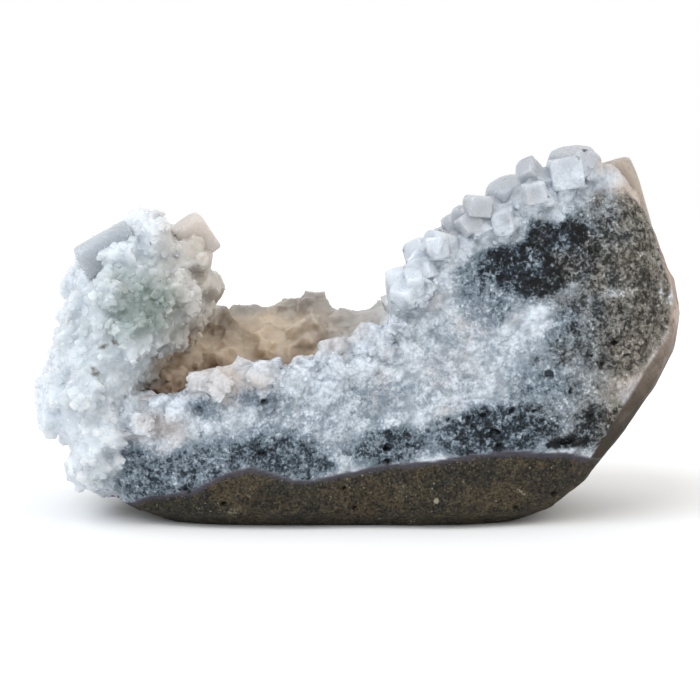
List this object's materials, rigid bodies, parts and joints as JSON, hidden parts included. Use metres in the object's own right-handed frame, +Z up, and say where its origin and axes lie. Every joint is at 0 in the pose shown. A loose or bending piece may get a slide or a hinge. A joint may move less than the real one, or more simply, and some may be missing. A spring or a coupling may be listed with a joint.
{
  "type": "apophyllite specimen",
  "caption": "Broken piece of a crystal-lined hollow: a dark basalt foot, a speckled quartz layer, and milky apophyllite crystals around an open bowl between a tower and a tall wedge.",
  "frame": {"origin": "centre of the specimen's flat underside, on the surface it rests on", "axes": "+X along the specimen from the tower to the wedge, +Y from the broken front face to the back, +Z up"},
  "size_m": [0.1576, 0.0725, 0.0896],
  "materials": {
    "basalt": "dense dark olive-grey basalt, dull, with fine pale scratches",
    "speckled_quartz": "granular white and blue-grey quartz with black specks and gas holes",
    "milky_crystal": "milky white apophyllite, frosted, with green inclusions",
    "clear_crystal": "white to water-clear apophyllite with pearly flat ends",
    "stained_crystal": "white rim crystals that turn light brown inside the hollow"
  },
  "bodies": {
    "root": {"basalt_matrix": "basalt", "speckled_layer": "speckled_quartz", "left_crystal_tower": "milky_crystal", "crest_crystals": "clear_crystal", "hollow_crust": "stained_crystal"}
  },
  "joints": []
}
